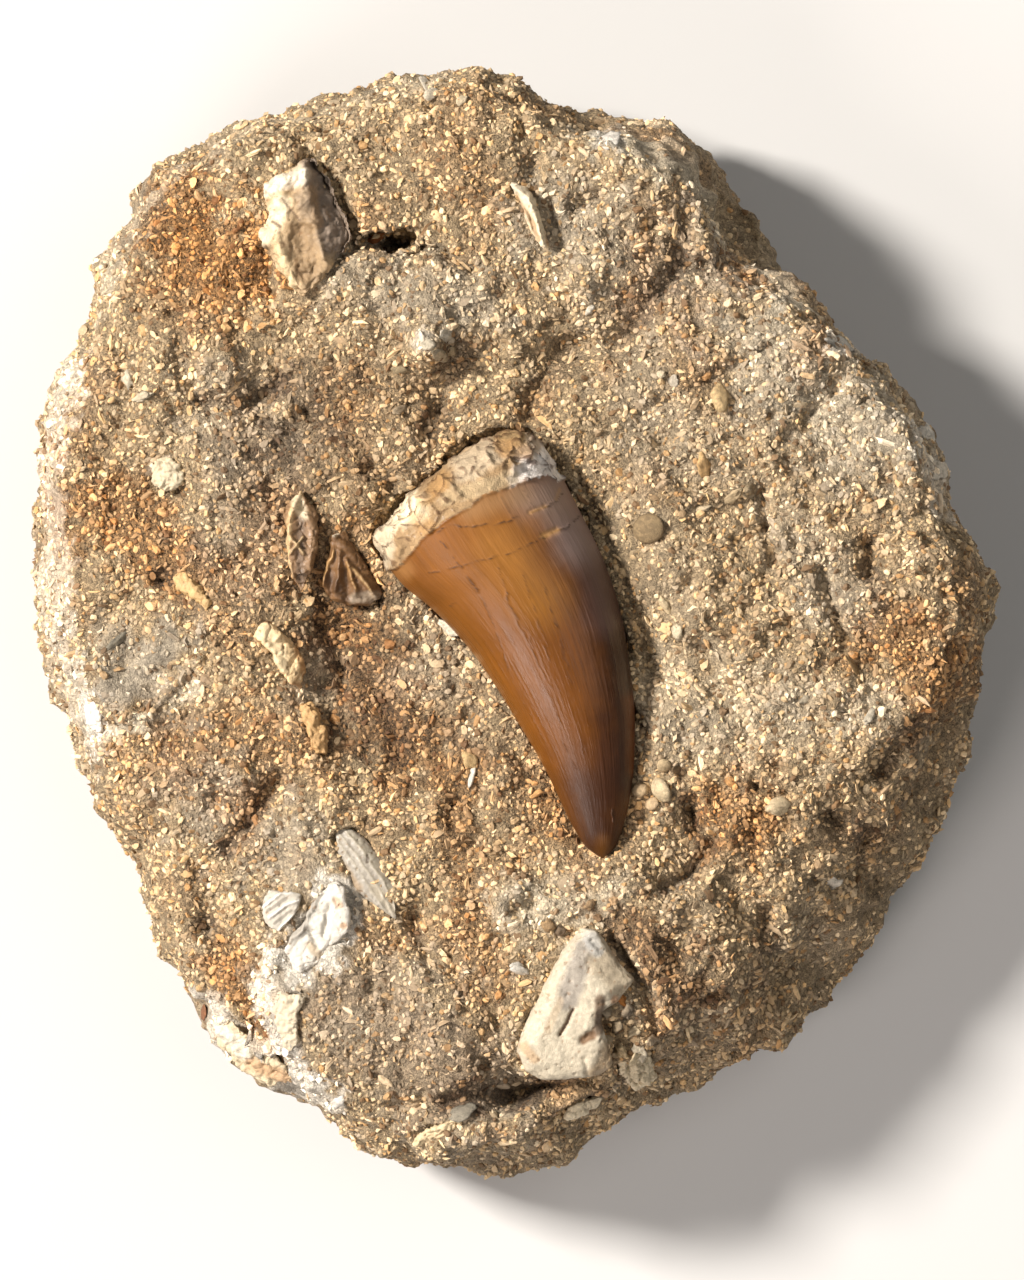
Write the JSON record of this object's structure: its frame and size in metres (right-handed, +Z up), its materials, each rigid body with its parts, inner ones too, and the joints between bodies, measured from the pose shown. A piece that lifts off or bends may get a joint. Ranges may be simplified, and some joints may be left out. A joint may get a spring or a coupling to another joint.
{
  "type": "fossil mosasaur tooth in matrix",
  "caption": "Fossil mosasaur tooth with a cream root and brown glossy crown, lying in an oval block of sandy phosphate rock with bone and shell fragments.",
  "frame": {"origin": "under the middle of the specimen's bounding box, on the surface that it rests on", "axes": "+X across the block towards the side that the tooth's round-curved edge faces, +Y along the block towards its top as displayed, +Z up out of the face that holds the tooth"},
  "size_m": [0.107, 0.1234, 0.0394],
  "materials": {
    "phosphate_rock": "sandy, granular and matt, tan with grey and rust stains",
    "tooth_enamel": "glossy amber to dark brown enamel, cream and crumbly at the root",
    "cream_bone": "cream fossil bone, satin with fine cracks and pits",
    "brown_bone": "brown fossil bone, ribbed and slightly glossy",
    "grey_shell": "grey-beige shell with fine growth lines",
    "chalky_shell": "white chalky shell, matt and flaking"
  },
  "bodies": {
    "root": {"matrix": "phosphate_rock", "tooth": "tooth_enamel", "bone_wedge": "cream_bone", "jaw_bone": "cream_bone", "rib_splinter": "cream_bone", "brown_blade": "brown_bone", "brown_shard": "brown_bone", "bone_knuckle_upper": "cream_bone", "bone_knuckle_middle": "cream_bone", "bone_knuckle_lower": "cream_bone", "striped_shell": "grey_shell", "chalky_shell": "chalky_shell", "shell_flake": "chalky_shell", "shell_lip": "chalky_shell", "rim_bone": "cream_bone", "crumbling_bone": "cream_bone", "low_splinter": "cream_bone", "edge_splinter": "cream_bone", "white_chip": "chalky_shell", "pale_knob": "cream_bone"}
  },
  "joints": []
}
